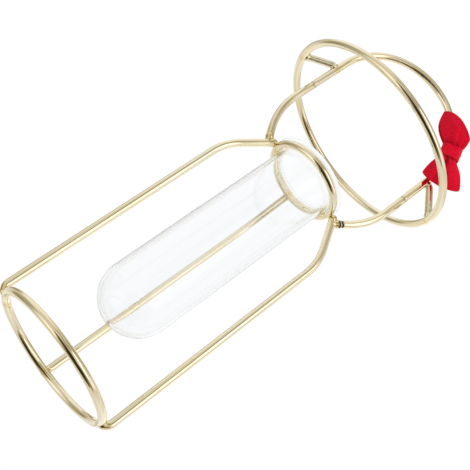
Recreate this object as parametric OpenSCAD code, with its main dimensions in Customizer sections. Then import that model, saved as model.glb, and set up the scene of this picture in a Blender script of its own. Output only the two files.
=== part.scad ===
// Glass test tube vase in a bent wire stand shaped like a figure with a hat.
// It stands on its base ring at z = 0, with the tube's axis on Z and the front towards -Y.

/* [Wire] */
// Diameter of the round wire
wire_d = 3.2; // [2.8:0.1:3.6]
// How far two welded wires melt into each other
weld_bite = 0.3; // [0.2:0.05:0.5]
// How far a weld bead stands out round the wire
bead_rise = 0.3; // [0.2:0.05:0.4]

/* [Base ring] */
// Radius of the base ring to the middle of its wire
base_r = 27.5; // [25:0.5:32]

/* [Uprights] */
// How far below the neck ring's middle the uprights start to lean in
shoulder_drop = 24.6; // [20:0.2:30]
// Bend radius of the shoulders, as a share of the roundest bend that fits
shoulder_bend_share = 0.74; // [0.5:0.01:0.95]
// How far each foot turns under, in degrees
foot_turn = 68; // [60:1:72]

/* [Neck ring and glass tube] */
// Height of the neck ring's middle
neck_z = 124.1; // [120:0.5:130]
// Outside diameter of the glass tube
tube_d = 30; // [26:0.5:32]
// Thickness of the glass
glass_t = 1.2; // [1:0.1:1.6]
// Length of the tube from its round bottom to the top of its lip
tube_len = 103; // [80:1:110]
// Gap between the tube and the neck ring
tube_play = 0.2; // [0.15:0.05:0.3]
// Radius of the lip's rolled edge
lip_bead_r = 0.75; // [0.65:0.05:0.85]
// How far the lip reaches past the middle of the neck ring's wire
lip_reach = 0.85; // [0.7:0.05:1.2]

/* [Head loop] */
// Radius of the loop's round top, to the middle of its wire
head_r = 30.7; // [29:0.1:33]
// How far above the neck ring the middle of the round top is
head_rise = 53; // [49:0.5:58]
// How far above the neck ring the legs start to turn in
leg_rise = 22.4; // [19:0.2:26]
// Bend radius of the legs, as a share of the roundest bend that fits
leg_bend_share = 0.945; // [0.6:0.005:0.97]
// How far below the neck ring's middle the legs meet the shoulders
leg_drop = 1.9; // [1.2:0.1:2.6]

/* [Brim ring] */
// Radius of the brim ring to the middle of its wire
brim_r = 43.6; // [41:0.2:48]
// How far the brim ring's middle is below the middle of the loop's round top
brim_drop = 15.5; // [12:0.1:19]
// How far the brim dips at the front, in degrees
brim_pitch = 5.9; // [0:0.1:10]
// How far the brim dips to the right, in degrees
brim_roll = 1.2; // [0:0.1:3]

/* [Struts] */
// How far the struts' short legs are below the middle of the loop's round top
strut_drop = 5.8; // [3:0.1:8]
// How far the struts' bends stand outside the loop's legs
strut_out = 2.9; // [2.6:0.1:3.6]
// Bend radius of the struts, to the middle of the wire
strut_bend_r = 2; // [1.8:0.1:2.4]

/* [Bow] */
// Where the bow sits on the loop's round top, in degrees from the right
bow_angle = 24.5; // [20:0.5:60]
// How far the bow is swung round the wire from the front to the inside, in degrees
bow_swing = 15.5; // [0:0.5:25]
// Width of the ribbon that is folded to the lobes
ribbon_w = 15.5; // [12:0.5:18]
// Thickness of the ribbon
ribbon_t = 0.5; // [0.4:0.05:0.6]
// Length of the upper lobe from the knot's middle
lobe_up = 13.4; // [12:0.1:16]
// Length of the lower lobe from the knot's middle
lobe_low = 19.5; // [15:0.1:22]
// How far the upper lobe turns about the bow's length, in degrees
lobe_up_turn = 18; // [0:1:25]
// How far the lower lobe turns about the bow's length, in degrees
lobe_low_turn = 14; // [0:1:25]
// How far the lobes stand forward of the knot
lobe_forward = 1.2; // [1:0.1:2]
// How far the upper lobe leans to the inside and the lower lobe to the outside
lobe_shift = 0.75; // [0:0.05:1]
// How far the front of a lobe puffs out
lobe_puff = 3.6; // [1:0.1:4.5]
// Depth of the valley down the front of the lower lobe
lobe_valley = 2.4; // [0:0.2:3]
// Half the width of the gathers in the knot
knot_half_w = 3.15; // [2.4:0.05:3.4]
// Half the depth of the gathers in the knot
knot_half_d = 1.5; // [1.4:0.1:2]
// Width of the band round the knot
band_w = 8.4; // [6:0.2:10]
// Thickness of the band
band_t = 0.6; // [0.4:0.1:1]
// Gap between the band, the wire and the gathers
band_gap = 0.25; // [0.2:0.05:0.4]

/* [Hidden] */
$fn = 64;

wire_r = wire_d / 2;
// Distance between the middles of two wires welded side by side
weld_step = wire_d - weld_bite;
bead_r = wire_r + bead_rise;
// Straight and bent stretches of one wire meet in a ball that is this much thicker, too little to see
joint_rise = 0.006;
tube_r = tube_d / 2;
// The neck ring's wire and the glass curl round one centre
neck_r = tube_r + tube_play + wire_r;
upright_r = base_r + weld_step;
shoulder_end = [neck_r + weld_step, neck_z];
foot_end_z = wire_r + weld_step * (1 - sin(foot_turn));
// The foot's rounded end stays just above what the vase stands on
foot_clear_share = 0.3;
foot_bead_r = wire_r + (foot_end_z - wire_r) * (1 - foot_clear_share);

curl_r = wire_r + tube_play;
lip_z = neck_z + curl_r + glass_t / 2;
bottom_z = lip_z + lip_bead_r - tube_len + tube_r;

shoulder_z = neck_z - shoulder_drop;
shoulder_bend_r = shoulder_bend_share * roundest_bend(upright_r - shoulder_end[0], shoulder_drop);
shoulder_bend_x = upright_r - shoulder_bend_r;
shoulder_turn = bend_to(shoulder_end - [shoulder_bend_x, shoulder_z], shoulder_bend_r);
shoulder_bend_end = [shoulder_bend_x, shoulder_z] + shoulder_bend_r * [cos(shoulder_turn), sin(shoulder_turn)];

// The legs of the head loop run on to the middle line of the shoulders
leg_end = shoulder_end + leg_drop * [tan(shoulder_turn), -1];
leg_bend_z = neck_z + leg_rise;
leg_bend_r = leg_bend_share * roundest_bend(head_r - leg_end[0], leg_bend_z - leg_end[1]);
leg_bend_x = head_r - leg_bend_r;
leg_turn = bend_to([leg_end[0] - leg_bend_x, leg_bend_z - leg_end[1]], leg_bend_r);
leg_bend_end = [leg_bend_x, leg_bend_z] + leg_bend_r * [cos(leg_turn), -sin(leg_turn)];

head_z = neck_z + head_rise;
brim_z = head_z - brim_drop;
strut_z = head_z - strut_drop;
strut_corner = [head_r + strut_out, strut_z];

// Parts of the bow's outline that follow the lobes' and the knot's sizes
lobe_up_slant_share = -0.385;
lobe_low_slant_share = 0.145;
lobe_up_round_share = 0.115;
lobe_low_round_share = 0.07;
lobe_up_flare_share = 0.34;
lobe_low_flare_share = 0.59;
edge_drop_share = 0.55;
back_share = 0.85;
knot_corner_share = 0.7;
knot_corner_r = knot_half_d + ribbon_t / 2 + band_gap;
knot_corner_x = knot_half_w - knot_corner_r * knot_corner_share;
bow_off = knot_corner_r + wire_r;
// How far the loop's wire curves off within half the band's width
band_sag = band_w * band_w / (8 * head_r);
ribbon_steps = 88;
ribbon_spans = 6;

gold = [0.86, 0.76, 0.52];
glass = [0.85, 0.9, 0.95, 0.35];
red = [0.78, 0.05, 0.13];

// Radius of a bend that goes this far in while it goes this far along, with no straight wire after it
function roundest_bend(inward, along) = (inward * inward + along * along) / (2 * inward);

// Angle at which a bend of radius r, entered along +Y at (r, 0), has to stop to head for the point
function bend_to(point, r) = atan2(point[1], point[0]) - acos(r / norm(point));

// Straight wire from one point of the XZ plane to another
module wire_line(from, to) {
    step = to - from;
    translate([from[0], 0, from[1]])
        rotate([0, atan2(step[0], step[1]), 0])
            cylinder(r = wire_r, h = norm(step));
}

// Bent wire in the XZ plane, from angle start through turn degrees round a centre
module wire_bend(centre, r, start, turn) {
    translate([centre[0], 0, centre[1]])
        rotate([90, 0, 0])
            rotate([0, 0, turn < 0 ? start + turn : start])
                rotate_extrude(angle = abs(turn))
                    translate([r, 0]) circle(r = wire_r);
}

// Ball at a point of the XZ plane where two stretches of one wire meet
module wire_joint(at) {
    translate([at[0], 0, at[1]]) sphere(r = wire_r + joint_rise);
}

// Flat ring of wire round Z
module wire_ring(r) {
    rotate_extrude() translate([r, 0]) circle(r = wire_r);
}

// The closed rings, which also cope the wires that end on them
module base_ring_wire() {
    translate([0, 0, wire_r]) wire_ring(base_r);
}

module neck_ring_wire() {
    translate([0, 0, neck_z]) wire_ring(neck_r);
}

// Leaning top of the upright in the XZ plane, with the bead at its weld
module shoulder_top() {
    wire_line(shoulder_bend_end, shoulder_end);
    wire_joint(shoulder_bend_end);
    translate([shoulder_end[0], 0, shoulder_end[1]]) sphere(r = bead_r);
}

// Whole upright in the XZ plane on the +X side, coped to both rings
module upright() {
    color(gold)
    difference() {
        union() {
            translate([base_r + weld_step * cos(foot_turn), 0, foot_end_z]) sphere(r = foot_bead_r);
            wire_bend([base_r, wire_r + weld_step], weld_step, 0, -foot_turn);
            wire_joint([upright_r, wire_r + weld_step]);
            wire_line([upright_r, wire_r + weld_step], [upright_r, shoulder_z]);
            wire_joint([upright_r, shoulder_z]);
            wire_bend([shoulder_bend_x, shoulder_z], shoulder_bend_r, 0, shoulder_turn);
            shoulder_top();
        }
        base_ring_wire();
        neck_ring_wire();
    }
}

module base_ring() {
    color(gold) base_ring_wire();
}

module upright_right() {
    upright();
}

module upright_left() {
    rotate([0, 0, 180]) upright();
}

module upright_back() {
    rotate([0, 0, 90]) upright();
}

module neck_ring() {
    color(gold) neck_ring_wire();
}

// Test tube with a round bottom, its top curled out over the neck ring to a rolled lip
module glass_tube() {
    color(glass)
    rotate_extrude() {
        translate([0, bottom_z]) intersection() {
            difference() {
                circle(r = tube_r);
                circle(r = tube_r - glass_t);
            }
            translate([0, -tube_r]) square([tube_r, tube_r]);
        }
        translate([tube_r - glass_t, bottom_z]) square([glass_t, neck_z - bottom_z]);
        translate([neck_r, neck_z]) intersection() {
            difference() {
                circle(r = curl_r + glass_t);
                circle(r = curl_r);
            }
            translate([-curl_r - glass_t, 0]) square(curl_r + glass_t);
        }
        translate([neck_r, neck_z + curl_r]) square([lip_reach, glass_t]);
        translate([neck_r + lip_reach, lip_z]) circle(r = lip_bead_r);
    }
}

// One leg of the head loop on the +X side, down to the shoulder that it is welded to
module head_leg() {
    along = (leg_end - leg_bend_end) / norm(leg_end - leg_bend_end);
    bead_at = leg_end - along * weld_step;
    wire_joint([head_r, head_z]);
    wire_line([head_r, leg_bend_z], [head_r, head_z]);
    wire_joint([head_r, leg_bend_z]);
    wire_bend([leg_bend_x, leg_bend_z], leg_bend_r, 0, -leg_turn);
    wire_joint(leg_bend_end);
    wire_line(leg_bend_end, leg_end - along * weld_bite);
    translate([bead_at[0], 0, bead_at[1]]) sphere(r = bead_r);
}

module head_loop() {
    color(gold)
    difference() {
        union() {
            wire_bend([0, head_z], head_r, 0, 180);
            head_leg();
            mirror([1, 0, 0]) head_leg();
        }
        shoulder_top();
        mirror([1, 0, 0]) shoulder_top();
    }
}

module brim_ring_wire() {
    translate([0, 0, brim_z]) rotate([brim_pitch, brim_roll, 0]) wire_ring(brim_r);
}

module brim_ring() {
    color(gold) brim_ring_wire();
}

// Short bent wire from the brim to the loop's leg on one side, 1 for right and -1 for left
module brim_strut(side) {
    brim_at = [brim_r * cos(brim_roll), brim_z - side * brim_r * sin(brim_roll)];
    slope = atan2(strut_z - brim_at[1], brim_at[0] - strut_corner[0]);
    setback = strut_bend_r * tan(slope / 2);
    slant_end = strut_corner + setback * [cos(slope), -sin(slope)];
    color(gold)
    difference() {
        mirror([side < 0 ? 1 : 0, 0, 0]) difference() {
            union() {
                wire_line(brim_at + weld_bite * [-cos(slope), sin(slope)], slant_end);
                wire_joint(slant_end);
                wire_bend(strut_corner - [setback, strut_bend_r], strut_bend_r, 90, -slope);
                wire_joint(strut_corner - [setback, 0]);
                wire_line([head_r + weld_bite, strut_z], strut_corner - [setback, 0]);
            }
            wire_line([head_r, leg_bend_z], [head_r, head_z]);
        }
        brim_ring_wire();
    }
}

module brim_strut_left() {
    brim_strut(-1);
}

module brim_strut_right() {
    brim_strut(1);
}

function ease(x) = x <= 0 ? 0 : x >= 1 ? 1 : x * x * (3 - 2 * x);

// Distance from the knot to a lobe's fold, which is slanted and rounded across the ribbon
function lobe_len(up, across) =
    up ? lobe_up * (1 + lobe_up_slant_share * across - lobe_up_round_share * across * across)
       : lobe_low * (1 + lobe_low_slant_share * across - lobe_low_round_share * across * across);

// Point on the middle of the folded ribbon. Turn goes once round the closed strip, from the upper
// fold down the front to the lower fold and up the back; across runs from -1 to 1.
function ribbon_at(turn, across) =
    let (
        up = cos(turn) > 0,
        len = lobe_len(up, across),
        z = len * cos(turn) * (2 - abs(cos(turn))),
        flare = len * (up ? lobe_up_flare_share : lobe_low_flare_share),
        out = ease((abs(z) - band_w / 2 - ribbon_t - band_gap) / flare),
        half_d = knot_half_d * (1 - edge_drop_share * across * across * (1 - out)),
        valley = up ? 0 : lobe_valley * out * (0.5 - across * across),
        depth = sin(turn) > 0 ? half_d + lobe_puff * out - valley : half_d * back_share,
        x = across * (knot_half_w + (ribbon_w / 2 - knot_half_w) * out),
        y = -sin(turn) * depth,
        lean = -out * (up ? lobe_up_turn : lobe_low_turn),
        along_wire = (head_r - sqrt(head_r * head_r - z * z)) * sin(bow_swing)
    )
    [
        x * cos(lean) - y * sin(lean) + (up ? -1 : 1) * lobe_shift * out,
        x * sin(lean) + y * cos(lean) - lobe_forward * out - along_wire,
        z
    ];

function ribbon_normal(turn, across) =
    let (
        d_turn = ribbon_at(turn + 1, across) - ribbon_at(turn - 1, across),
        d_across = ribbon_at(turn, across + 0.05) - ribbon_at(turn, across - 0.05),
        n = cross(d_turn, d_across)
    )
    n / norm(n);

// The ribbon folded to two lobes, as a closed strip with square edges
module folded_ribbon() {
    ring = 2 * (ribbon_spans + 1);
    points = [
        for (i = [0 : ribbon_steps - 1])
            let (turn = 360 * (i + 0.5) / ribbon_steps)
            for (k = [0 : ring - 1])
                let (
                    outer = k <= ribbon_spans,
                    across = outer ? -1 + 2 * k / ribbon_spans : 1 - 2 * (k - ribbon_spans - 1) / ribbon_spans
                )
                ribbon_at(turn, across) + (outer ? 1 : -1) * ribbon_t / 2 * ribbon_normal(turn, across)
    ];
    faces = [
        for (i = [0 : ribbon_steps - 1])
            for (k = [0 : ring - 1])
                let (
                    a = i * ring + k,
                    b = i * ring + (k + 1) % ring,
                    c = ((i + 1) % ribbon_steps) * ring + (k + 1) % ring,
                    d = ((i + 1) % ribbon_steps) * ring + k
                )
                for (f = [[a, b, c], [a, c, d]]) f
    ];
    polyhedron(points = points, faces = faces);
}

// Puts the bow's own frame on the loop: X out from the loop's middle, Z along its wire, -Y to the front
module on_the_loop() {
    translate([0, 0, head_z])
        rotate([0, -bow_angle, 0])
            translate([head_r, 0, 0])
                rotate([0, 0, -bow_swing])
                    translate([0, -bow_off, 0])
                        children();
}

module bow_ribbon() {
    color(red) on_the_loop() folded_ribbon();
}

// Outline inside the band: round the gathers and the wire behind them, grown by a margin
module band_outline(margin) {
    hull() {
        for (side = [-1, 1])
            translate([side * knot_corner_x, 0]) circle(r = knot_corner_r + margin, $fn = 32);
        for (back = [0, -band_sag])
            translate([back, bow_off]) circle(r = wire_r + band_gap + margin, $fn = 32);
    }
}

module bow_band() {
    color(red)
    on_the_loop()
        linear_extrude(height = band_w, center = true)
            difference() {
                band_outline(band_t);
                band_outline(0);
            }
}

base_ring();
upright_left();
upright_right();
upright_back();
neck_ring();
glass_tube();
head_loop();
brim_ring();
brim_strut_left();
brim_strut_right();
bow_ribbon();
bow_band();
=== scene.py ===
import math

import bpy
import numpy as np
from mathutils import Matrix, Vector


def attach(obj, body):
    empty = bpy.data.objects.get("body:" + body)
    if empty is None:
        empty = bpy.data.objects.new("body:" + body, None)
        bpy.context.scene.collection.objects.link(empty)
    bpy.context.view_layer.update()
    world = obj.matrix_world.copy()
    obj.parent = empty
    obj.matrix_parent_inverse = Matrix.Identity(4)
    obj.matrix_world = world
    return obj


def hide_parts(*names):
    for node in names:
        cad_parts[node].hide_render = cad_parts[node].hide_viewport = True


# Glass test tube vase in a stand of bent gold wire, with a red grosgrain bow.
# Everything is in the CAD model's frame: it stands on z = 0, the tube is on Z, the front is towards -Y.
# Sizes are in millimetres as in the part's source, and turned to metres as a mesh is made.

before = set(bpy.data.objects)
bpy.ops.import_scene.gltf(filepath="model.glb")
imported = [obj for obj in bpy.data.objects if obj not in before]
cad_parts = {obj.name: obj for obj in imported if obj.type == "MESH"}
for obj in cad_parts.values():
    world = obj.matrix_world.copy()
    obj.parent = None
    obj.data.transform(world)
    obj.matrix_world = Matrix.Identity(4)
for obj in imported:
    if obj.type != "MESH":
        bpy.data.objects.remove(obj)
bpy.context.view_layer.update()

MM = 0.001

# Wire. An upright ends BEAD_R beyond the level of the neck ring's middle, in a dome of WELD_BEAD_R.
WIRE_R = 1.6
BEAD_R = 1.9
WELD_BEAD_R = 1.72
WELD_STEP = 2.9
BASE_R = 27.5
UPRIGHT_R = BASE_R + WELD_STEP
FOOT_TURN = math.radians(68)
NECK_Z = 124.1
NECK_R = 16.8
SHOULDER_END = np.array([NECK_R + WELD_STEP, NECK_Z])
SHOULDER_DROP = 24.6
SHOULDER_BEND_SHARE = 0.74
HEAD_R = 30.7
HEAD_Z = 177.1
LEG_BEND_Z = 146.5
LEG_BEND_SHARE = 0.945
LEG_DROP = 1.9
BRIM_R = 43.6
BRIM_Z = 161.6
BRIM_PITCH = math.radians(5.9)
BRIM_ROLL = math.radians(1.2)
STRUT_CORNER = np.array([33.6, 171.3])
STRUT_BEND_R = 2.0
FOOT_DOME_R = 1.748
WELD_HEAT_W = 1.8
BUTT_WELD_ANGLE = 165

# Glass
TUBE_R = 15.0
GLASS_T = 1.2
BOTTOM_Z = 39.25
CURL_R = 1.8
LIP_R = NECK_R + 0.85
LIP_Z = 126.5
LIP_BEAD_R = 0.75
LIP_FROM_Z = NECK_Z + 0.4

# Bow
BOW_ANGLE = math.radians(24.5)
BOW_SWING = math.radians(15.5)
BOW_OFF = 3.6
RIBBON_W = 15.5
RIBBON_T = 0.45
BAND_W = 8.4
BAND_T = 0.6
BAND_PLY_T = 0.27
KNOT_HALF_W = 3.15
KNOT_HALF_D = 1.5
RIB = 0.95
LOBE_RIB_DEPTH = 0.2
BAND_RIB_DEPTH = 0.15

# How closely the pieces are drawn
PATH_STEP = 0.1
ROW_STEP = 0.7
WIRE_SIDES = 32
DOME_ROWS = 9
DOME_TIP = 0.06
SWELL_ROWS = 13
GLASS_SIDES = 256
BOTTOM_ROWS = 33
WALL_ROWS = 30
ROWS_PER_RIB = 8
LOBE_COLUMNS = 37


def linear(hex_colour):
    """The linear colour, with alpha, of an sRGB hex value."""
    parts = [int(hex_colour[i:i + 2], 16) / 255 for i in (1, 3, 5)]
    return tuple(c / 12.92 if c <= 0.04045 else ((c + 0.055) / 1.055) ** 2.4 for c in parts) + (1.0,)


def add_node(tree, kind, settings=None, links=None):
    """Adds a node. Settings are its properties and the values of its sockets, links are what feeds its sockets. A
    Mix node's colours are its sockets 6 and 7, and its mixed colour is its output 2."""
    node = tree.nodes.new(kind)
    for name, value in (settings or {}).items():
        if isinstance(name, str) and hasattr(node, name):
            setattr(node, name, value)
        else:
            node.inputs[name].default_value = value
    for name, socket in (links or {}).items():
        tree.links.new(socket, node.inputs[name])
    return node


def new_material(name):
    """An empty node material, and its tree."""
    material = bpy.data.materials.new(name)
    material.use_nodes = True
    material.node_tree.nodes.clear()
    return material, material.node_tree


# ---------------------------------------------------------------- finishes

def polished_gold_plate():
    """Steel wire, drawn, bent and plated with pale gold: a near mirror with faint drawing lines along it, slight
    waves where it was bent, and a warmer, duller skin round the welds."""
    material, tree = new_material("polished_gold_plate")
    lay = add_node(tree, "ShaderNodeAttribute", {"attribute_name": "lay"})
    weld = add_node(tree, "ShaderNodeAttribute", {"attribute_name": "weld"})
    scuff = add_node(tree, "ShaderNodeAttribute", {"attribute_name": "scuff"})
    stain = add_node(tree, "ShaderNodeAttribute", {"attribute_name": "stain"})
    # Drawing lines: 0.25 mm apart round the wire, some 20 times as long, and as shallow as polishing leaves them
    lines = add_node(tree, "ShaderNodeTexNoise", {"Scale": 2200.0, "Detail": 2.0, "Roughness": 0.5},
                     {"Vector": lay.outputs["Vector"]})
    # Bending and polishing leave waves some 2 mm wide
    place = add_node(tree, "ShaderNodeTexCoord")
    waves = add_node(tree, "ShaderNodeTexNoise", {"Scale": 190.0, "Detail": 1.0, "Roughness": 0.4},
                     {"Vector": place.outputs["Object"]})
    # The plating's tone drifts over a few centimetres
    drift = add_node(tree, "ShaderNodeTexNoise", {"Scale": 45.0, "Detail": 3.0},
                     {"Vector": place.outputs["Object"]})
    tone = add_node(tree, "ShaderNodeValToRGB", {}, {"Fac": drift.outputs["Fac"]})
    tone.color_ramp.elements[0].position = 0.35
    tone.color_ramp.elements[0].color = linear("#F0E2BC")
    tone.color_ramp.elements[1].position = 0.65
    tone.color_ramp.elements[1].color = linear("#F4E9CC")
    heat = add_node(tree, "ShaderNodeMix", {"data_type": "RGBA"},
                    {0: weld.outputs["Fac"], 6: tone.outputs["Color"]})
    heat.inputs[7].default_value = linear("#E8D3A0")
    dull = add_node(tree, "ShaderNodeMapRange", {"From Min": 0.3, "From Max": 0.7, "To Min": 0.015, "To Max": 0.035},
                    {"Value": drift.outputs["Fac"]})
    rough = add_node(tree, "ShaderNodeMath", {"operation": "MULTIPLY_ADD", 1: 0.06},
                     {0: weld.outputs["Fac"], 2: dull.outputs["Result"]})
    wavy = add_node(tree, "ShaderNodeBump", {"Strength": 1.0, "Distance": 0.000012},
                    {"Height": waves.outputs["Fac"]})
    drawn = add_node(tree, "ShaderNodeBump", {"Strength": 0.05, "Distance": 0.0000015},
                     {"Height": lines.outputs["Fac"], "Normal": wavy.outputs["Normal"]})
    # The jig's jaws leave the short struts nicked, some 2.4 mm apart, and rub their gold paler
    nicks = add_node(tree, "ShaderNodeTexVoronoi", {"Scale": 420.0}, {"Vector": place.outputs["Object"]})
    nicked = add_node(tree, "ShaderNodeBump", {"Distance": 0.00007},
                      {"Height": nicks.outputs["Distance"], "Strength": scuff.outputs["Fac"],
                       "Normal": drawn.outputs["Normal"]})
    rubbed = add_node(tree, "ShaderNodeMath", {"operation": "MULTIPLY", 1: 0.6}, {0: scuff.outputs["Fac"]})
    skin = add_node(tree, "ShaderNodeMix", {"data_type": "RGBA"}, {0: rubbed.outputs["Value"], 6: heat.outputs[2]})
    skin.inputs[7].default_value = linear("#E9E4D2")
    # Dark steel shows in the few nicks that the plating missed
    bare = add_node(tree, "ShaderNodeMix", {"data_type": "RGBA"}, {0: stain.outputs["Fac"], 6: skin.outputs[2]})
    bare.inputs[7].default_value = linear("#241E15")
    gold = add_node(tree, "ShaderNodeBsdfPrincipled", {"Metallic": 1.0},
                    {"Base Color": bare.outputs[2], "Roughness": rough.outputs["Value"],
                     "Normal": nicked.outputs["Normal"]})
    add_node(tree, "ShaderNodeOutputMaterial", {}, {"Surface": gold.outputs["BSDF"]})
    return material


def blown_borosilicate(name, ior, colour, outline_shade_colour):
    """Borosilicate tube, drawn and lampworked: clear and smooth with faint waves along it, with painted grey shade at
    its outline, and a few fine marks at the round bottom."""
    material, tree = new_material(name)
    place = add_node(tree, "ShaderNodeTexCoord")
    # Drawing waves: 4 mm wide round the tube and ten times as long
    long_way = add_node(tree, "ShaderNodeMapping", {"Scale": (1.0, 1.0, 0.1)}, {"Vector": place.outputs["Object"]})
    waves = add_node(tree, "ShaderNodeTexNoise", {"Scale": 220.0, "Detail": 1.0},
                     {"Vector": long_way.outputs["Vector"]})
    wavy = add_node(tree, "ShaderNodeBump", {"Strength": 0.3, "Distance": 0.00004},
                    {"Height": waves.outputs["Fac"]})
    # Closing the bottom in the flame leaves fine ripples and marks there, 2 to 3 mm apart
    height = add_node(tree, "ShaderNodeSeparateXYZ", {}, {"Vector": place.outputs["Object"]})
    low_down = add_node(tree, "ShaderNodeMapRange",
                        {"From Min": (BOTTOM_Z - 2.0) * MM, "From Max": (BOTTOM_Z - 9.0) * MM, "To Max": 0.14},
                        {"Value": height.outputs["Z"]})
    ripples = add_node(tree, "ShaderNodeTexNoise", {"Scale": 420.0, "Detail": 2.0, "Distortion": 1.5},
                       {"Vector": place.outputs["Object"]})
    marked = add_node(tree, "ShaderNodeBump", {"Distance": 0.0001},
                      {"Height": ripples.outputs["Fac"], "Strength": low_down.outputs["Result"],
                       "Normal": wavy.outputs["Normal"]})
    # Painted shade: the glass turns grey where its surface is seen edge on, which draws a grey outline
    facing = add_node(tree, "ShaderNodeLayerWeight", {"Blend": 0.5})
    edge_on_shade = add_node(tree, "ShaderNodeMapRange", {"interpolation_type": "SMOOTHSTEP", "From Min": 0.6,
                                                       "From Max": 1.0}, {"Value": facing.outputs["Facing"]})
    body = add_node(tree, "ShaderNodeMix", {"data_type": "RGBA"}, {0: edge_on_shade.outputs["Result"]})
    body.inputs[6].default_value = linear(colour)
    body.inputs[7].default_value = linear(outline_shade_colour)
    glass = add_node(tree, "ShaderNodeBsdfPrincipled", {"Roughness": 0.0, "IOR": ior, "Transmission Weight": 1.0},
                     {"Base Color": body.outputs[2], "Normal": marked.outputs["Normal"]})
    add_node(tree, "ShaderNodeOutputMaterial", {}, {"Surface": glass.outputs["BSDF"]})
    return material


def woven_grosgrain():
    """Polyester grosgrain ribbon, woven with thick weft ribs: matt crimson with a soft sheen on the ribs, painted
    shade between them and in the knot and its folds, and fine warp threads across each rib."""
    material, tree = new_material("woven_grosgrain")
    along = add_node(tree, "ShaderNodeAttribute", {"attribute_name": "along"})
    across = add_node(tree, "ShaderNodeAttribute", {"attribute_name": "across"})
    rib = add_node(tree, "ShaderNodeAttribute", {"attribute_name": "rib"})
    place = add_node(tree, "ShaderNodeCombineXYZ", {}, {"X": across.outputs["Fac"], "Y": along.outputs["Fac"]})
    # Warp threads: 0.3 mm apart across the ribbon, drawn as streaks along it
    streak = add_node(tree, "ShaderNodeMapping", {"Scale": (3300.0, 700.0, 1.0)}, {"Vector": place.outputs["Vector"]})
    warp = add_node(tree, "ShaderNodeTexNoise", {"Scale": 1.0, "Detail": 2.0}, {"Vector": streak.outputs["Vector"]})
    solid = add_node(tree, "ShaderNodeTexCoord")
    blotch = add_node(tree, "ShaderNodeTexNoise", {"Scale": 260.0, "Detail": 3.0},
                      {"Vector": solid.outputs["Object"]})
    crown = add_node(tree, "ShaderNodeMix", {"data_type": "RGBA"}, {0: blotch.outputs["Fac"]})
    crown.inputs[6].default_value = linear("#E70424")
    crown.inputs[7].default_value = linear("#F10938")
    # Painted shade: the dye is darker down between the ribs, where shade falls
    groove_shade = add_node(tree, "ShaderNodeMix", {"data_type": "RGBA"},
                      {0: rib.outputs["Fac"], 7: crown.outputs[2]})
    groove_shade.inputs[6].default_value = linear("#AA001F")
    thread = add_node(tree, "ShaderNodeMapRange", {"To Min": 0.86, "To Max": 1.1}, {"Value": warp.outputs["Fac"]})
    # Painted shade: the cloth is darkened in the knot, along the lower lobe's crease and at the band's folded edges
    fold_shade = add_node(tree, "ShaderNodeAttribute", {"attribute_name": "fold_shade"})
    closed = add_node(tree, "ShaderNodeMapRange", {"To Min": 1.0, "To Max": 0.45}, {"Value": fold_shade.outputs["Fac"]})
    depth = add_node(tree, "ShaderNodeMath", {"operation": "MULTIPLY"},
                     {0: thread.outputs["Result"], 1: closed.outputs["Result"]})
    dyed = add_node(tree, "ShaderNodeVectorMath", {"operation": "SCALE"},
                    {0: groove_shade.outputs[2], "Scale": depth.outputs["Value"]})
    height = add_node(tree, "ShaderNodeBump", {"Strength": 0.6, "Distance": 0.00006}, {"Height": warp.outputs["Fac"]})
    cloth = add_node(tree, "ShaderNodeBsdfPrincipled",
                     {"Roughness": 0.62, "Sheen Weight": 0.04, "Sheen Roughness": 0.45,
                      "Sheen Tint": linear("#FF8C98"), "Specular IOR Level": 0.12},
                     {"Base Color": dyed.outputs["Vector"], "Normal": height.outputs["Normal"]})
    add_node(tree, "ShaderNodeOutputMaterial", {}, {"Surface": cloth.outputs["BSDF"]})
    return material


GOLD = polished_gold_plate()
# The last colour given to each glass is the painted grey shade at its outline
GLASS = blown_borosilicate("blown_borosilicate", 1.47, "#FCFDFE", "#DDE1E4")
# The rolled lip is drawn with a far lower index than the glass really has, which is the wall's. With the real one it
# mirrors a dark arc that the photo doesn't show.
LIP_GLASS = blown_borosilicate("fire_polished_borosilicate", 1.13, "#FAFBFC", "#B4BABF")
GROSGRAIN = woven_grosgrain()


# ---------------------------------------------------------------- node trees that shape pieces

def new_tree(name, sizes):
    """An empty geometry tree with named inputs, and its two ends."""
    tree = bpy.data.node_groups.new(name, "GeometryNodeTree")
    tree.interface.new_socket("Geometry", in_out="INPUT", socket_type="NodeSocketGeometry")
    for label, kind in sizes.items():
        tree.interface.new_socket(label, in_out="INPUT", socket_type="NodeSocket" + kind)
    tree.interface.new_socket("Geometry", in_out="OUTPUT", socket_type="NodeSocketGeometry")
    return tree, tree.nodes.new("NodeGroupInput").outputs, tree.nodes.new("NodeGroupOutput").inputs


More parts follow.
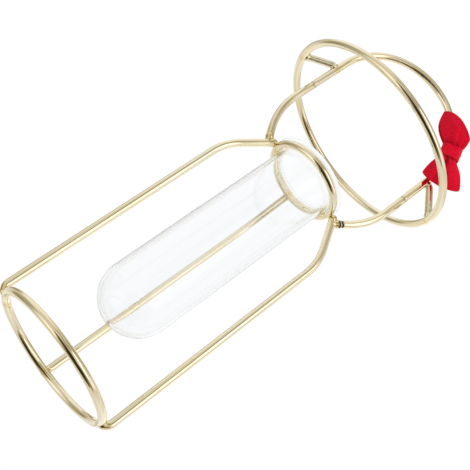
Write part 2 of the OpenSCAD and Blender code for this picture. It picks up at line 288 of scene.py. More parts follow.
def bent_wire_tree():
    """Sweeps a round wire along a path. The path's points carry its thickness, and its surface gets a place that
    runs slowly along it, for the drawing lines."""
    tree, given, result = new_tree("bent_wire", {"Wire radius": "Float", "Sides": "Int", "Stretch": "Float",
                                                 "Finish": "Material"})
    path = add_node(tree, "GeometryNodeMeshToCurve", {}, {"Mesh": given["Geometry"]})
    here = add_node(tree, "GeometryNodeInputPosition")
    middle = add_node(tree, "GeometryNodeStoreNamedAttribute",
                      {"data_type": "FLOAT_VECTOR", "domain": "POINT", "Name": "middle"},
                      {"Geometry": path.outputs["Curve"], "Value": here.outputs["Position"]})
    swell = add_node(tree, "GeometryNodeInputNamedAttribute", {"data_type": "FLOAT", "Name": "swell"})
    thick = add_node(tree, "ShaderNodeMath", {"operation": "MULTIPLY"},
                     {0: swell.outputs["Attribute"], 1: given["Wire radius"]})
    section = add_node(tree, "GeometryNodeCurvePrimitiveCircle", {"Radius": 1.0}, {"Resolution": given["Sides"]})
    sweep = add_node(tree, "GeometryNodeCurveToMesh", {"Fill Caps": True},
                     {"Curve": middle.outputs["Geometry"], "Profile Curve": section.outputs["Curve"],
                      "Scale": thick.outputs["Value"]})
    centre = add_node(tree, "GeometryNodeInputNamedAttribute", {"data_type": "FLOAT_VECTOR", "Name": "middle"})
    less = add_node(tree, "ShaderNodeMath", {"operation": "DIVIDE", 0: 1.0}, {1: given["Stretch"]})
    rest = add_node(tree, "ShaderNodeMath", {"operation": "SUBTRACT", 0: 1.0}, {1: less.outputs["Value"]})
    back = add_node(tree, "ShaderNodeVectorMath", {"operation": "SCALE"},
                    {0: centre.outputs["Attribute"], "Scale": rest.outputs["Value"]})
    there = add_node(tree, "GeometryNodeInputPosition")
    slow = add_node(tree, "ShaderNodeVectorMath", {"operation": "SUBTRACT"},
                    {0: there.outputs["Position"], 1: back.outputs["Vector"]})
    lay = add_node(tree, "GeometryNodeStoreNamedAttribute",
                   {"data_type": "FLOAT_VECTOR", "domain": "POINT", "Name": "lay"},
                   {"Geometry": sweep.outputs["Mesh"], "Value": slow.outputs["Vector"]})
    smooth = add_node(tree, "GeometryNodeSetShadeSmooth", {}, {"Geometry": lay.outputs["Geometry"]})
    real = add_node(tree, "GeometryNodeRealizeInstances", {}, {"Geometry": smooth.outputs["Geometry"]})
    dressed = add_node(tree, "GeometryNodeSetMaterial", {},
                       {"Geometry": real.outputs["Geometry"], "Material": given["Finish"]})
    tree.links.new(dressed.outputs["Geometry"], result["Geometry"])
    return tree


def grosgrain_rib_tree():
    """Raises the ribs of grosgrain on a strip whose points carry their place along it, and tells the finish how high
    on a rib each point is."""
    tree, given, result = new_tree("grosgrain_ribs", {"Rib pitch": "Float", "Rib depth": "Float",
                                                      "Finish": "Material"})
    along = add_node(tree, "GeometryNodeInputNamedAttribute", {"data_type": "FLOAT", "Name": "along"})
    face = add_node(tree, "GeometryNodeInputNamedAttribute", {"data_type": "FLOAT", "Name": "face"})
    count = add_node(tree, "ShaderNodeMath", {"operation": "DIVIDE"},
                     {0: along.outputs["Attribute"], 1: given["Rib pitch"]})
    angle = add_node(tree, "ShaderNodeMath", {"operation": "MULTIPLY", 1: math.pi}, {0: count.outputs["Value"]})
    wave = add_node(tree, "ShaderNodeMath", {"operation": "SINE"}, {0: angle.outputs["Value"]})
    hump = add_node(tree, "ShaderNodeMath", {"operation": "ABSOLUTE"}, {0: wave.outputs["Value"]})
    full = add_node(tree, "ShaderNodeMath", {"operation": "POWER", 1: 0.7}, {0: hump.outputs["Value"]})
    told = add_node(tree, "GeometryNodeStoreNamedAttribute", {"data_type": "FLOAT", "domain": "POINT", "Name": "rib"},
                    {"Geometry": given["Geometry"], "Value": full.outputs["Value"]})
    level = add_node(tree, "ShaderNodeMath", {"operation": "SUBTRACT", 1: 0.7}, {0: full.outputs["Value"]})
    deep = add_node(tree, "ShaderNodeMath", {"operation": "MULTIPLY"},
                    {0: level.outputs["Value"], 1: given["Rib depth"]})
    flat = add_node(tree, "ShaderNodeMath", {"operation": "MULTIPLY"},
                    {0: deep.outputs["Value"], 1: face.outputs["Attribute"]})
    normal = add_node(tree, "GeometryNodeInputNormal")
    lift = add_node(tree, "ShaderNodeVectorMath", {"operation": "SCALE"},
                    {0: normal.outputs["Normal"], "Scale": flat.outputs["Value"]})
    raised = add_node(tree, "GeometryNodeSetPosition", {},
                      {"Geometry": told.outputs["Geometry"], "Offset": lift.outputs["Vector"]})
    smooth = add_node(tree, "GeometryNodeSetShadeSmooth", {}, {"Geometry": raised.outputs["Geometry"]})
    real = add_node(tree, "GeometryNodeRealizeInstances", {}, {"Geometry": smooth.outputs["Geometry"]})
    dressed = add_node(tree, "GeometryNodeSetMaterial", {},
                       {"Geometry": real.outputs["Geometry"], "Material": given["Finish"]})
    tree.links.new(dressed.outputs["Geometry"], result["Geometry"])
    return tree


BENT_WIRE = bent_wire_tree()
RIBS = grosgrain_rib_tree()


def new_piece(name, points, edges=(), faces=(), numbers=None):
    """An object in its place, from points in millimetres, with numbers stored on the points."""
    mesh = bpy.data.meshes.new(name)
    mesh.from_pydata([tuple(p) for p in np.asarray(points) * MM], [tuple(e) for e in edges], [tuple(f) for f in faces])
    for label, values in (numbers or {}).items():
        mesh.attributes.new(label, "FLOAT", "POINT").data.foreach_set("value", np.asarray(values, np.float32))
    piece = bpy.data.objects.new(name, mesh)
    bpy.context.scene.collection.objects.link(piece)
    return piece


def shape_with(piece, tree, sizes):
    """Puts the piece through a tree with these sizes, and leaves it a plain mesh."""
    step = piece.modifiers.new(tree.name, "NODES")
    step.node_group = tree
    for socket in tree.interface.items_tree:
        if socket.in_out == "INPUT" and socket.name in sizes:
            step[socket.identifier] = sizes[socket.name]
    bpy.context.view_layer.update()
    shaped = piece.evaluated_get(bpy.context.evaluated_depsgraph_get())
    plain = bpy.data.meshes.new_from_object(shaped)
    piece.modifiers.clear()
    piece.data = plain
    return piece


def fasten(piece, body, nodes):
    """Makes a piece ride on a body and stand for CAD nodes, which it hides."""
    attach(piece, body)
    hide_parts(*nodes)


# ---------------------------------------------------------------- wires

def arc(centre, r, start, stop, n=None):
    """Points of an arc: n of them, or as many as lie close together."""
    a = np.linspace(start, stop, n or max(3, int(abs(stop - start) * r / PATH_STEP)))
    return np.stack([centre[0] + r * np.cos(a), centre[1] + r * np.sin(a)], 1)


def straight(a, b, n=None):
    """Points of a straight line: n of them, or as many as lie close together."""
    return np.linspace(a, b, n or max(2, int(np.hypot(*(np.subtract(b, a))) / PATH_STEP)))


def run_along(path):
    """The length along a path at each of its points."""
    return np.concatenate([[0], np.cumsum(np.linalg.norm(np.diff(path, axis=0), axis=1))])


def roundest_bend(inward, along):
    """The radius of the bend that leads this far inward over this length."""
    return (inward * inward + along * along) / (2 * inward)


def bend_to(point, r):
    """The angle of a bend round the origin, from X, whose straight end then meets the point."""
    return math.atan2(point[1], point[0]) - math.acos(r / math.hypot(*point))


def stood_up(flat, turn):
    """A wire's plane stood on Z and turned round it."""
    return np.stack([flat[:, 0] * math.cos(turn), flat[:, 0] * math.sin(turn), flat[:, 1]], 1)


def wire_piece(name, path, closed=False, domes=(0, 0), beads=(), welds=(), seams=(), dents=(), stains=(),
               scuff=0.0):
    """A wire along a path in millimetres. Domes are the radii of its rounded ends, beads are (place, radius) where
    weld metal swells it, seams and dents are (place, length, rise) of slight swellings and dents, and welds are the
    places where its skin is heated. Stains are (place, length, depth) of dark nicks. A place is millimetres from its
    start, or from its end if negative. Scuff says how much the jig and the cutter marked it, from 0 to 1."""
    path = np.asarray(path)
    if closed:
        path = np.vstack([path, path[:1]])
    run = run_along(path)
    total = run[-1]
    ends = [(end, dome) for end, dome in ((0, domes[0]), (total, domes[1])) if dome]
    at = lambda place: place if place >= 0 else total + place

    # Rows of points lie evenly along the wire, and closer where its thickness or its skin changes
    stops = [np.linspace(0, total, int(total / ROW_STEP) + 1)]
    for end, dome in ends:
        near = dome * (1 - np.cos(np.linspace(DOME_TIP, math.pi / 2, DOME_ROWS)))
        stops = [stops[0][np.abs(stops[0] - end) > dome]] + stops[1:] + [np.abs(end - near)]
    for place, size, *_ in [*beads, *seams, *dents, *stains]:
        stops.append(np.clip(at(place) + np.linspace(-size, size, SWELL_ROWS), 0.01, total - 0.01))
    s = np.unique(np.round(np.concatenate(stops), 3))
    if closed:
        s = s[s < total - 0.2]
    for end, dome in ends:
        s = s[np.abs(s - end) >= dome * (1 - math.cos(DOME_TIP)) - 1e-3]

    ball = lambda place, r: np.sqrt(np.clip(r * r - (s - place) ** 2, 0, None))
    body = np.full_like(s, WIRE_R)
    swollen = np.zeros_like(s)
    for end, dome in ends:
        body = body * np.clip(np.abs(s - end) / dome, 0, 1) ** 0.5
        swollen = np.maximum(swollen, ball(abs(end - dome), dome))
    for place, r in beads:
        swollen = np.maximum(swollen, ball(at(place), r))
    radius = (body ** 10 + swollen ** 10) ** 0.1
    patch = lambda place, length: np.exp(-((s - at(place)) / length * 2) ** 2)
    for place, length, rise in [*seams, *dents]:
        radius = radius + rise * patch(place, length)
    heated = np.zeros_like(s)
    for place in welds:
        heated = np.maximum(heated, patch(place, 2 * WELD_HEAT_W))
    stained = np.zeros_like(s)
    for place, length, dark in stains:
        stained = np.maximum(stained, dark * patch(place, length))

    points = np.stack([np.interp(s, run, path[:, k]) for k in range(3)], 1)
    edges = [(i, i + 1) for i in range(len(s) - 1)] + ([(len(s) - 1, 0)] if closed else [])
    piece = new_piece(name, points, edges=edges, numbers={"swell": radius / WIRE_R, "weld": heated, "stain": stained,
                                                          "scuff": np.full_like(s, scuff)})
    return shape_with(piece, BENT_WIRE, {"Wire radius": WIRE_R * MM, "Sides": WIRE_SIDES, "Stretch": 20.0,
                                         "Finish": GOLD})


def ring(r, z, pitch=0.0, roll=0.0):
    """Points of a ring round Z at this height, tipped about X and then about Y."""
    a = np.linspace(0, 2 * math.pi, int(2 * math.pi * r / PATH_STEP), endpoint=False)
    flat = np.stack([r * np.cos(a), r * np.sin(a), 0 * a], 1)
    turned = Matrix.Rotation(roll, 3, "Y") @ Matrix.Rotation(pitch, 3, "X")
    return flat @ np.array(turned).T + np.array([0, 0, z])


# Uprights, from the foot that turns under to the base ring up to the neck ring
shoulder_z = NECK_Z - SHOULDER_DROP
shoulder_bend_r = SHOULDER_BEND_SHARE * roundest_bend(UPRIGHT_R - SHOULDER_END[0], SHOULDER_DROP)
shoulder_bend_at = np.array([UPRIGHT_R - shoulder_bend_r, shoulder_z])
shoulder_turn = bend_to(SHOULDER_END - shoulder_bend_at, shoulder_bend_r)
shoulder_bend = arc(shoulder_bend_at, shoulder_bend_r, 0, shoulder_turn)
shoulder_way = np.array([-math.sin(shoulder_turn), math.cos(shoulder_turn)])
foot = arc([BASE_R, WIRE_R + WELD_STEP], WELD_STEP, -FOOT_TURN - FOOT_DOME_R / WELD_STEP, 0)
upright_path = np.vstack([foot, straight([UPRIGHT_R, WIRE_R + WELD_STEP], [UPRIGHT_R, shoulder_z])[1:],
                          shoulder_bend[1:], straight(shoulder_bend[-1], SHOULDER_END + BEAD_R * shoulder_way)[1:]])
for side, turn in (("left", math.pi), ("right", 0.0), ("back", math.pi / 2)):
    upright = wire_piece("wire_upright_" + side, stood_up(upright_path, turn), domes=(FOOT_DOME_R, WELD_BEAD_R),
                         welds=(2.6, -2.0))
    fasten(upright, "frame", ["upright_" + side])

# Head loop, from one shoulder up over the round top and down to the other
leg_end = SHOULDER_END + LEG_DROP * np.array([math.tan(shoulder_turn), -1])
leg_bend_r = LEG_BEND_SHARE * roundest_bend(HEAD_R - leg_end[0], LEG_BEND_Z - leg_end[1])
leg_bend_at = np.array([HEAD_R - leg_bend_r, LEG_BEND_Z])
leg_turn = bend_to([leg_end[0] - leg_bend_at[0], LEG_BEND_Z - leg_end[1]], leg_bend_r)
leg_bend = arc(leg_bend_at, leg_bend_r, -leg_turn, 0)
leg = np.vstack([straight(leg_end, leg_bend[0]), leg_bend[1:], straight([HEAD_R, LEG_BEND_Z], [HEAD_R, HEAD_Z])[1:]])
head_path = np.vstack([leg, arc([0, HEAD_Z], HEAD_R, 0, math.pi)[1:], (leg * [-1, 1])[::-1][1:]])
# It is welded at its ends and, 51.5 mm up each leg, to the struts. A faint mark goes round each leg 37 mm up, and two
# dark nicks round the right one beside its weld.
head_loop = wire_piece("wire_head_loop", stood_up(head_path, 0.0),
                       beads=((WELD_STEP, WELD_BEAD_R), (-WELD_STEP, WELD_BEAD_R)), welds=(2.2, -2.2, 51.5, -51.5),
                       dents=((37.0, 1.6, -0.03), (-37.0, 1.6, -0.03), (3.2, 0.6, -0.3), (4.5, 0.6, -0.25)),
                       stains=((3.2, 0.95, 1.0), (4.5, 0.85, 1.0), (37.0, 1.3, 0.35), (-37.0, 1.3, 0.35)))
fasten(head_loop, "frame", ["head_loop"])

# Closed rings, heated where the uprights and struts meet them. The base ring's butt weld is at its back left.
base_length = 2 * math.pi * BASE_R
butt_weld = base_length * BUTT_WELD_ANGLE / 360
base_ring = wire_piece("wire_base_ring", ring(BASE_R, WIRE_R), closed=True,
                       welds=(0.0, base_length / 4, base_length / 2, butt_weld), seams=((butt_weld, 0.9, 0.09),))
fasten(base_ring, "frame", ["base_ring"])
neck_length = 2 * math.pi * NECK_R
neck_ring = wire_piece("wire_neck_ring", ring(NECK_R, NECK_Z), closed=True,
                       welds=(0.0, neck_length / 4, neck_length / 2))
fasten(neck_ring, "frame", ["neck_ring"])
brim_length = 2 * math.pi * BRIM_R
brim_ring = wire_piece("wire_brim_ring", ring(BRIM_R, BRIM_Z, BRIM_PITCH, BRIM_ROLL), closed=True,
                       welds=(0.0, brim_length / 2))
fasten(brim_ring, "frame", ["brim_ring"])

# Struts, from the brim up to the head loop's legs
for side, sign in (("left", -1), ("right", 1)):
    brim_at = np.array([BRIM_R * math.cos(BRIM_ROLL), BRIM_Z - sign * BRIM_R * math.sin(BRIM_ROLL)])
    slope = math.atan2(STRUT_CORNER[1] - brim_at[1], brim_at[0] - STRUT_CORNER[0])
    setback = STRUT_BEND_R * math.tan(slope / 2)
    slant_end = STRUT_CORNER + setback * np.array([math.cos(slope), -math.sin(slope)])
    bend = arc(STRUT_CORNER - [setback, STRUT_BEND_R], STRUT_BEND_R, math.pi / 2 - slope, math.pi / 2)
    strut_path = np.vstack([straight(brim_at, slant_end), bend[1:], straight(bend[-1], [HEAD_R, STRUT_CORNER[1]])[1:]])
    strut = wire_piece("wire_brim_strut_" + side, stood_up(strut_path, 0.0 if sign > 0 else math.pi),
                       welds=(1.8, -1.8), seams=((1.5, 1.1, 0.32), (-1.5, 1.1, 0.32)), scuff=1.0)
    fasten(strut, "frame", ["brim_strut_" + side])


# ---------------------------------------------------------------- glass

def glass_profile():
    """Half section of the tube, from the middle of its round bottom up the outside, over the lip and down the
    inside."""
    quarter = math.pi / 2
    inner_r = TUBE_R - GLASS_T
    bottom = [0, BOTTOM_Z]
    flare = [NECK_R, NECK_Z]
    dip = math.asin((LIP_Z - NECK_Z - CURL_R) / LIP_BEAD_R)
    return np.vstack([
        arc(bottom, TUBE_R, -quarter, 0, BOTTOM_ROWS),
        straight([TUBE_R, BOTTOM_Z], [TUBE_R, NECK_Z], WALL_ROWS)[1:-1],
        arc(flare, CURL_R, 2 * quarter, quarter, 13),
        arc([LIP_R, LIP_Z], LIP_BEAD_R, -2 * quarter + dip, 2 * quarter - dip, 21),
        arc(flare, CURL_R + GLASS_T, quarter, 2 * quarter, 15),
        straight([inner_r, NECK_Z], [inner_r, BOTTOM_Z], WALL_ROWS)[1:-1],
        arc(bottom, inner_r, 0, -quarter, BOTTOM_ROWS)])


def lathe(name, profile, sides):
    """A closed shape turned round Z. The profile starts and ends on the axis."""
    inside = profile[1:-1]
    a = np.linspace(0, 2 * math.pi, sides, endpoint=False)
    points = [(0, 0, profile[0][1])]
    for r, z in inside:
        points += list(zip(r * np.cos(a), r * np.sin(a), np.full(sides, z)))
    points.append((0, 0, profile[-1][1]))
    at = lambda row, k: 1 + row * sides + k % sides
    faces = [(0, at(0, k + 1), at(0, k)) for k in range(sides)]
    for row in range(len(inside) - 1):
        faces += [(at(row, k), at(row, k + 1), at(row + 1, k + 1), at(row + 1, k)) for k in range(sides)]
    last = len(points) - 1
    faces += [(last, at(len(inside) - 1, k), at(len(inside) - 1, k + 1)) for k in range(sides)]
    piece = new_piece(name, points, faces=faces)
    piece.data.polygons.foreach_set("use_smooth", [True] * len(faces))
    return piece


tube = lathe("glass_test_tube", glass_profile(), GLASS_SIDES)
tube.data.materials.append(GLASS)
tube.data.materials.append(LIP_GLASS)
for face in tube.data.polygons:
    if face.center.z > LIP_FROM_Z * MM:
        face.material_index = 1
fasten(tube, "tube", ["glass_tube"])


# ---------------------------------------------------------------- bow

def ease(x):
    """From 0 to 1, slow at both ends."""
    x = np.clip(x, 0, 1)
    return x * x * (3 - 2 * x)


# The two lobes. Each ends in a fold that lies aslant: side is its side of the knot, left and width say where it
# runs across, reach and slant how far out its left end lies and how much further its right end, bulge and corners
# how its middle stands out and its corners are rounded off. The lobe starts to open at start from the knot's middle,
# puff is how thick it stands, and lean how far it tips forward across its width.
UPPER_LOBE = {"side": 1, "left": -9.5, "width": 14.8, "reach": 17.5, "slant": -9.7, "bulge": 3.2, "corners": 0.5,
              "start": 1.8, "puff": 3.0, "lean": 0.16}
LOWER_LOBE = {"side": -1, "left": -7.7, "width": 16.5, "reach": 16.2, "slant": 3.8, "bulge": 2.0, "corners": 0.6,
              "start": 4.0, "puff": 2.6, "lean": 0.14}
CREASE_DEPTH = 2.8
CREASE_W = 0.24
FRONT_GATHER = 0.45
BACK_GATHER = 0.16


def ribbon_at(turn, across):
    """Middle of the folded ribbon, and how much painted shade its folds get there. Turn goes once round the strip,
    from the upper fold down the front to the lower fold and up the back, and across runs from -1 to 1."""
    up = np.cos(turn) > 0
    front = np.sin(turn) > 0
    lobe = {name: np.where(up, UPPER_LOBE[name], LOWER_LOBE[name]) for name in UPPER_LOBE}
    share = (across + 1) / 2
    edge = across ** 2
    fold_x = lobe["left"] + lobe["width"] * share
    fold_z = lobe["side"] * (lobe["reach"] + lobe["slant"] * share + lobe["bulge"] * (1 - edge)
                             - lobe["corners"] * across ** 8)
    z = fold_z * np.abs(np.cos(turn)) * (2 - np.abs(np.cos(turn)))
    # Way runs from 0 at the knot to 1 at the fold
    way = np.clip((np.abs(z) - lobe["start"]) / (np.abs(fold_z) - lobe["start"]), 0, 1)
    spread = np.where(up, np.sin(1.85 * way ** 0.85), 0.5 * (way + np.sin(math.pi / 2 * way)))
    x = KNOT_HALF_W * across + (fold_x - KNOT_HALF_W * across) * spread
    out = ease(way / 0.6)
    half_d = KNOT_HALF_D * (1 - 0.55 * edge * (1 - out))
    puff = lobe["puff"] * np.sin(math.pi * way ** 0.75) ** 0.8 * (1 - 0.85 * edge) + 0.5 * out
    # The lower lobe is pressed in below the knot
    crease_shape = np.exp(-((across + 0.05 + 0.25 * way) / CREASE_W) ** 2)
    crease = np.where(up, 0, CREASE_DEPTH * ease(way / 0.3) * crease_shape)
    depth = np.where(front, half_d * (1 - 0.5 * out * edge) + puff - crease, half_d * 0.85)
    # The gathers: the ribbon's width is folded into the knot, and the folds die out along the lobes
    gather = np.cos(math.pi * (2.6 * across + 0.15 * np.sin(3 * across))) * (1 - across ** 6) * (1 - ease(way / 0.75))
    depth = depth + np.where(front, FRONT_GATHER * gather, -BACK_GATHER * gather) * np.abs(np.sin(turn)) ** 0.5
    along_wire = (HEAD_R - np.sqrt(HEAD_R ** 2 - z ** 2)) * math.sin(BOW_SWING)
    y = -np.sin(turn) * depth - lobe["lean"] * out * x - 1.2 * out - along_wire
    # Painted shade: darker where the lobes go into the knot and along the lower lobe's crease
    fold_shade = (1 - ease(way / 0.2)) * 0.55 + np.where(up | ~front, 0, crease_shape * (1 - ease(way / 0.5)))
    return np.stack([x, y, z], -1), np.clip(fold_shade, 0, 1)


def on_the_loop(points):
    """From the bow's own frame to its place: X out from the loop's middle, Z along its wire, -Y to the front."""
    place = (Matrix.Translation((0, 0, HEAD_Z)) @ Matrix.Rotation(-BOW_ANGLE, 4, "Y")
             @ Matrix.Translation((HEAD_R, 0, 0)) @ Matrix.Rotation(-BOW_SWING, 4, "Z")
             @ Matrix.Translation((0, -BOW_OFF, 0)))
    place = np.array(place)
    return points @ place[:3, :3].T + place[:3, 3]


def surface_normal(middle, closed):
    """Which way a strip's rows and columns of points face. A closed strip's last row meets its first."""
    if closed:
        down = np.roll(middle, -1, 0) - np.roll(middle, 1, 0)
    else:
        down = np.gradient(middle, axis=0)
    over = np.gradient(middle, axis=1)
    n = np.cross(down, over)
    return n / np.linalg.norm(n, axis=2, keepdims=True)


def strip_piece(name, middle, across, along, fold_shade, thick, closed, rib_depth):
    """A ribbon with two faces and round edges along rows of points. Middle, across and along are in millimetres, and
    the painted shade of its folds is from 0 to 1, each as rows by columns."""
    normal = surface_normal(middle, closed)
    rows, columns = middle.shape[:2]
    out = middle + normal * thick / 2
    back = middle - normal * thick / 2
    side = middle[:, -1] - middle[:, -2]
    side = side / np.linalg.norm(side, axis=1, keepdims=True)
    other = middle[:, 0] - middle[:, 1]
    other = other / np.linalg.norm(other, axis=1, keepdims=True)
    section = np.concatenate([out, (middle[:, -1] + side * thick * 0.35)[:, None], back[:, ::-1],
                              (middle[:, 0] + other * thick * 0.35)[:, None]], 1)
    around = section.shape[1]
    spread = lambda v: np.concatenate([v, v[:, -1:], v[:, ::-1], v[:, :1]], 1)
    faced = np.concatenate([np.ones((rows, columns)), np.zeros((rows, 1)), np.ones((rows, columns)),
                            np.zeros((rows, 1))], 1)
    faced[:, [0, columns - 1, columns + 1, 2 * columns]] = 0.5
    at = lambda i, k: (i % rows) * around + k % around
    faces = [(at(i, k), at(i, k + 1), at(i + 1, k + 1), at(i + 1, k))
             for i in range(rows if closed else rows - 1) for k in range(around)]
    if not closed:
        faces += [tuple(at(0, k) for k in range(around))[::-1], tuple(at(rows - 1, k) for k in range(around))]
    piece = new_piece(name, on_the_loop(section.reshape(-1, 3)), faces=faces,
                      numbers={"along": spread(along).ravel() * MM, "across": spread(across).ravel() * MM,
                               "fold_shade": spread(fold_shade).ravel(), "face": faced.ravel()})
    return shape_with(piece, RIBS, {"Rib pitch": RIB * MM, "Rib depth": rib_depth * MM, "Finish": GROSGRAIN})


# Ribbon folded to two lobes. Its ends meet inside the knot, where the rows start.
fine = np.radians(90 + np.linspace(0, 360, 3601))
run = run_along(ribbon_at(fine, np.zeros_like(fine))[0])
ribbon_length = run[-1]
rib_count = round(ribbon_length / RIB)
ribs_done = np.arange(rib_count * ROWS_PER_RIB) / ROWS_PER_RIB
turns = np.interp(ribs_done / rib_count * ribbon_length, run, fine)
turn_grid, across_grid = np.meshgrid(turns, np.linspace(-1, 1, LOBE_COLUMNS), indexing="ij")
middle, fold_shade = ribbon_at(turn_grid, across_grid)
along_grid = np.repeat(ribs_done[:, None] * RIB, LOBE_COLUMNS, 1)
lobes = strip_piece("bow_ribbon_lobes", middle, across_grid * RIBBON_W / 2, along_grid, fold_shade, RIBBON_T, True,
                    LOBE_RIB_DEPTH)
fasten(lobes, "frame", ["bow_ribbon"])


def band_outline(margin):
    """Round the gathers in front and the wire behind, at this distance, as close points."""
    # Circles (x, y, radius) that it is stretched round: the gathers' two ends, and the wire, which bends a little
    circles = [(1.75, 0.0, 2.0), (-1.75, 0.0, 2.0), (0.0, BOW_OFF, 1.85), (-0.287, BOW_OFF, 1.85)]
    points = []
    for t in np.linspace(0, 2 * math.pi, 1440, endpoint=False) + math.pi / 2:
        n = np.array([math.cos(t), math.sin(t)])
        c = max(circles, key=lambda q: q[0] * n[0] + q[1] * n[1] + q[2])
        points.append(np.array(c[:2]) + (c[2] + margin) * n)
    return np.array(points)


# Band: the same ribbon folded lengthwise and closed behind the wire, where its end lies over its start
loop = band_outline(BAND_T / 2)
loop = np.vstack([loop, loop[:1]])
run = run_along(loop)
girth = run[-1]
overlap = 2.6
steps = int((girth + overlap) / RIB * ROWS_PER_RIB)
s = np.linspace(0, girth + overlap, steps)
on_loop = lambda places: np.stack([np.interp(places % girth, run, loop[:, k]) for k in range(2)], 1)
flat = on_loop(s)
way = on_loop(s + 0.3) - on_loop(s - 0.3)
way = way / np.linalg.norm(way, axis=1, keepdims=True)
outward = np.stack([way[:, 1], -way[:, 0]], 1)
lift = 0.85 * ease((s - girth + 2.5) / 2.5)
# Across the ribbon: the front layer, a tight fold at each side, and the edges turned in behind it
layer = 0.16
front_half = BAND_W / 2 - layer
fold_end = front_half + math.pi * layer
u = np.concatenate([np.linspace(0, front_half, 13), np.linspace(front_half, fold_end, 8)[1:],
                    np.linspace(fold_end, RIBBON_W / 2, 10)[1:]])
turned_in = np.clip((u - front_half) / layer, 0, math.pi)
u_z = np.where(u < front_half, u, front_half) + layer * np.sin(turned_in) - np.clip(u - fold_end, 0, None)
u_off = layer * np.cos(turned_in)
u, u_z, u_off = (np.concatenate([sign * v[:0:-1], v]) for v, sign in ((u, -1), (u_z, -1), (u_off, 1)))
share = u_z[None, :] / (BAND_W / 2)
# In front it is drawn narrower and sits a little lower, and its ribs run unevenly
front = np.exp(-((s - girth / 2) / (girth / 4)) ** 2)[:, None]
width = 1 - 0.25 * front + 0.02 * np.sin(s * 1.7)[:, None]
crown = 0.3 * (1 - share ** 2) * front + 0.1 * np.cos(share * 7.5 + 0.6 * np.sin(s * 0.5)[:, None]) * front
offset = lift[:, None] + crown + u_off[None, :]
middle = np.stack([flat[:, 0, None] + outward[:, 0, None] * offset, flat[:, 1, None] + outward[:, 1, None] * offset,
                   -u_z[None, :] * width - 1.1 * front], 2)
wobble = 0.22 * np.sin(share * 4.0 + s[:, None] * 0.7) + 0.12 * np.sin(share * 9.0)
# Painted shade, darker towards the band's folded edges
fold_shade = np.repeat(0.35 * np.abs(share) ** 6, steps, 0)
band = strip_piece("bow_knot_band", middle, np.repeat(u[None, :], steps, 0), s[:, None] + wobble, fold_shade, BAND_PLY_T,
                   False, BAND_RIB_DEPTH)
fasten(band, "frame", ["bow_band"])


# ---------------------------------------------------------------- floor, light and camera

def pale_floor():
    """Painted board: matt, nearly white, seen only from above, and fading out far from the object."""
    material, tree = new_material("matt_white_board")
    place = add_node(tree, "ShaderNodeTexCoord")
    grain = add_node(tree, "ShaderNodeTexNoise", {"Scale": 30.0, "Detail": 2.0}, {"Vector": place.outputs["Object"]})
    tone = add_node(tree, "ShaderNodeMix", {"data_type": "RGBA"}, {0: grain.outputs["Fac"]})
    tone.inputs[6].default_value = linear("#F3F3F1")
    tone.inputs[7].default_value = linear("#F6F6F5")
    board = add_node(tree, "ShaderNodeBsdfDiffuse", {}, {"Color": tone.outputs[2]})
    clear = add_node(tree, "ShaderNodeBsdfTransparent")
    reach = add_node(tree, "ShaderNodeVectorMath", {"operation": "LENGTH"}, {0: place.outputs["Object"]})
    far = add_node(tree, "ShaderNodeMapRange", {"interpolation_type": "SMOOTHSTEP", "From Min": 0.35, "From Max": 1.1},
                   {"Value": reach.outputs["Value"]})
    side = add_node(tree, "ShaderNodeNewGeometry")
    gone = add_node(tree, "ShaderNodeMath", {"operation": "MAXIMUM"},
                    {0: far.outputs["Result"], 1: side.outputs["Backfacing"]})
    mixed = add_node(tree, "ShaderNodeMixShader", {},
                     {0: gone.outputs["Value"], 1: board.outputs["BSDF"], 2: clear.outputs["BSDF"]})
    add_node(tree, "ShaderNodeOutputMaterial", {}, {"Surface": mixed.outputs["Shader"]})
    return material


def disc(name, r, rings, sides):
    """A flat disc on z = 0, in rings of faces."""
    a = np.linspace(0, 2 * math.pi, sides, endpoint=False)
    points = [(0, 0, 0)]
    for i in range(1, rings + 1):
        points += [(r * i / rings * math.cos(t), r * i / rings * math.sin(t), 0) for t in a]
    at = lambda i, k: 1 + i * sides + k % sides
    faces = [(0, at(0, k), at(0, k + 1)) for k in range(sides)]
    for i in range(rings - 1):
        faces += [(at(i, k), at(i + 1, k), at(i + 1, k + 1), at(i, k + 1)) for k in range(sides)]
    return new_piece(name, points, faces=faces)


floor = disc("floor", 1200.0, 12, 64)
floor.data.materials.append(pale_floor())
floor.visible_glossy = False


def towards(azimuth, elevation):
    """The direction at these angles, in degrees: azimuth from X towards Y, elevation up from the floor."""
    a, e = math.radians(azimuth), math.radians(elevation)
    return Vector((math.cos(e) * math.cos(a), math.cos(e) * math.sin(a), math.sin(e)))


# The studio round the vase, as its polished wire shows it: an even grey-white room with lighter and darker zones.
# Each zone is azimuth and elevation, the angles from there at which it starts and stops to fade, all in degrees,
# and how much light it adds or takes. They were fitted to the brightness of the gold in the photo and then
# adjusted. The light is warm where the room is dark, and white where it is light.
ROOM_LEVEL = 0.72
DARKEST = 0.03
ROOM_ZONES = [
    (-66, 24, 8, 13, 1.0), (-46, 13, 11, 16, 0.85), (-25, 12, 4, 13, 0.35), (-18, 34, 6, 12, 0.5),
    (63, 0, 8, 84, 0.27), (-179, 47, 25, 36, 0.26),
    (-107, 27, 6, 11, -0.45), (-88, 11, 10, 14, -0.4), (-76, 48, 13, 17, -0.3), (-84, 90, 24, 29, -0.3),
    (-87, -36, 22, 26, -0.52), (-53, -58, 30, 34, -0.5), (-33, -28, 19, 23, -0.45), (-85, -70, 22, 48, -0.25),
    (174, -32, 25, 41, -0.3), (-144, -59, 8, 33, 0.7),
    (150, -24, 6, 20, -0.12), (94, -4, 5, 12, -0.35), (41, 38, 4, 10, -0.4), (-162, 9, 11, 18, 0.1),
    (-134, 47, 10, 16, 0.13), (22, 8, 6, 14, -0.15), (128, 22, 7, 15, -0.45), (62, 12, 6, 12, 0.3),
    (75, -42, 20, 28, -0.14), (80, 52, 12, 20, -0.3), (150, 20, 8, 14, -0.25),
]
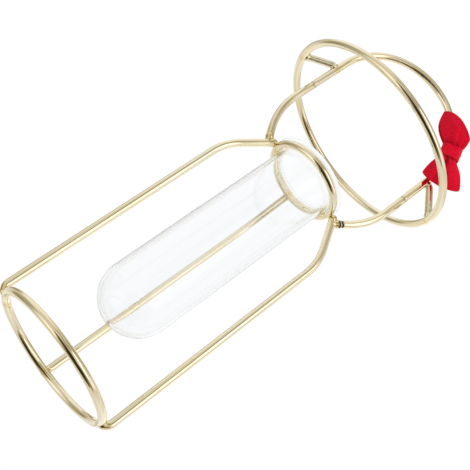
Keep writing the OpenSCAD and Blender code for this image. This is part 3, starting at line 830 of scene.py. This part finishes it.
DARK_TINT = (1.3, 1.0, 0.45, 1.0)
MIDDLE_TINT = (1.07, 1.0, 0.78, 1.0)
LIGHT_TINT = (1.0, 1.0, 1.0, 1.0)


def studio_world():
    """The room, which lights the vase and is mirrored in the wire and the glass. Seen straight or through the glass it
    is white."""
    world = bpy.data.worlds.new("studio")
    world.use_nodes = True
    tree = world.node_tree
    tree.nodes.clear()
    way = add_node(tree, "ShaderNodeTexCoord").outputs["Generated"]
    level = add_node(tree, "ShaderNodeValue").outputs[0]
    level.default_value = ROOM_LEVEL
    for azimuth, elevation, inner, outer, amount in ROOM_ZONES:
        near = add_node(tree, "ShaderNodeVectorMath", {"operation": "DOT_PRODUCT", 1: towards(azimuth, elevation)},
                        {0: way})
        zone = add_node(tree, "ShaderNodeMapRange",
                        {"interpolation_type": "SMOOTHSTEP", "From Min": math.cos(math.radians(outer)),
                         "From Max": math.cos(math.radians(inner)), "To Min": 0.0, "To Max": amount},
                        {"Value": near.outputs["Value"]})
        level = add_node(tree, "ShaderNodeMath", {"operation": "ADD"},
                         {0: zone.outputs["Result"], 1: level}).outputs["Value"]
    held = add_node(tree, "ShaderNodeMath", {"operation": "MAXIMUM", 1: DARKEST}, {0: level}).outputs["Value"]
    to_middle = add_node(tree, "ShaderNodeMapRange", {"From Min": 0.0, "From Max": 0.35}, {"Value": held})
    warm = add_node(tree, "ShaderNodeMix", {"data_type": "RGBA"}, {0: to_middle.outputs["Result"]})
    warm.inputs[6].default_value = DARK_TINT
    warm.inputs[7].default_value = MIDDLE_TINT
    to_light = add_node(tree, "ShaderNodeMapRange", {"From Min": 0.35, "From Max": 0.85}, {"Value": held})
    tint = add_node(tree, "ShaderNodeMix", {"data_type": "RGBA"}, {0: to_light.outputs["Result"], 6: warm.outputs[2]})
    tint.inputs[7].default_value = LIGHT_TINT
    room = add_node(tree, "ShaderNodeBackground", {}, {"Color": tint.outputs[2], "Strength": held})
    white = add_node(tree, "ShaderNodeBackground", {"Color": (1.0, 1.0, 1.0, 1.0), "Strength": 1.0})
    ray = add_node(tree, "ShaderNodeLightPath")
    clear = add_node(tree, "ShaderNodeMath", {"operation": "MAXIMUM"},
                     {0: ray.outputs["Is Camera Ray"], 1: ray.outputs["Is Transmission Ray"]})
    seen = add_node(tree, "ShaderNodeMixShader", {},
                    {0: clear.outputs["Value"], 1: room.outputs["Background"], 2: white.outputs["Background"]})
    add_node(tree, "ShaderNodeOutputWorld", {}, {"Surface": seen.outputs["Shader"]})
    return world


bpy.context.scene.world = studio_world()


def soft_lamp(name, azimuth, elevation, distance, size, power):
    """A square softbox that faces the middle of the vase. It isn't seen in the wire, which shows the room."""
    light = bpy.data.lights.new(name, "AREA")
    light.shape = "SQUARE"
    light.size = size
    light.energy = power
    lamp = bpy.data.objects.new(name, light)
    away = towards(azimuth, elevation)
    turned = away.to_track_quat("Z", "Y").to_matrix().to_4x4()
    lamp.matrix_world = Matrix.Translation(Vector((0, 0, 0.105)) + away * distance) @ turned
    lamp.visible_glossy = False
    lamp.visible_transmission = False
    lamp.visible_camera = False
    bpy.context.scene.collection.objects.link(lamp)


soft_lamp("softbox_front", azimuth=-48, elevation=30, distance=0.9, size=0.6, power=3.0)
soft_lamp("softbox_top", azimuth=120, elevation=70, distance=0.9, size=0.7, power=2.0)

# Camera at the photo's angle, low in front and looking up, turned so that the vase lies across the picture
lens = bpy.data.cameras.new("camera")
lens.lens = 67.32
lens.sensor_width = 36.0
lens.clip_start = 0.01
camera = bpy.data.objects.new("camera", lens)
right = Vector((0.60672, -0.30013, 0.73608))
down = Vector((0.79150, 0.31384, -0.52443))
forward = Vector((-0.07361, 0.90079, 0.42797))
turned = Matrix((right, -down, -forward)).transposed().to_4x4()
camera.matrix_world = Matrix.Translation((0.02687, -0.30524, -0.05976)) @ turned
bpy.context.scene.collection.objects.link(camera)
bpy.context.scene.camera = camera
bpy.context.scene.view_settings.view_transform = "Standard"
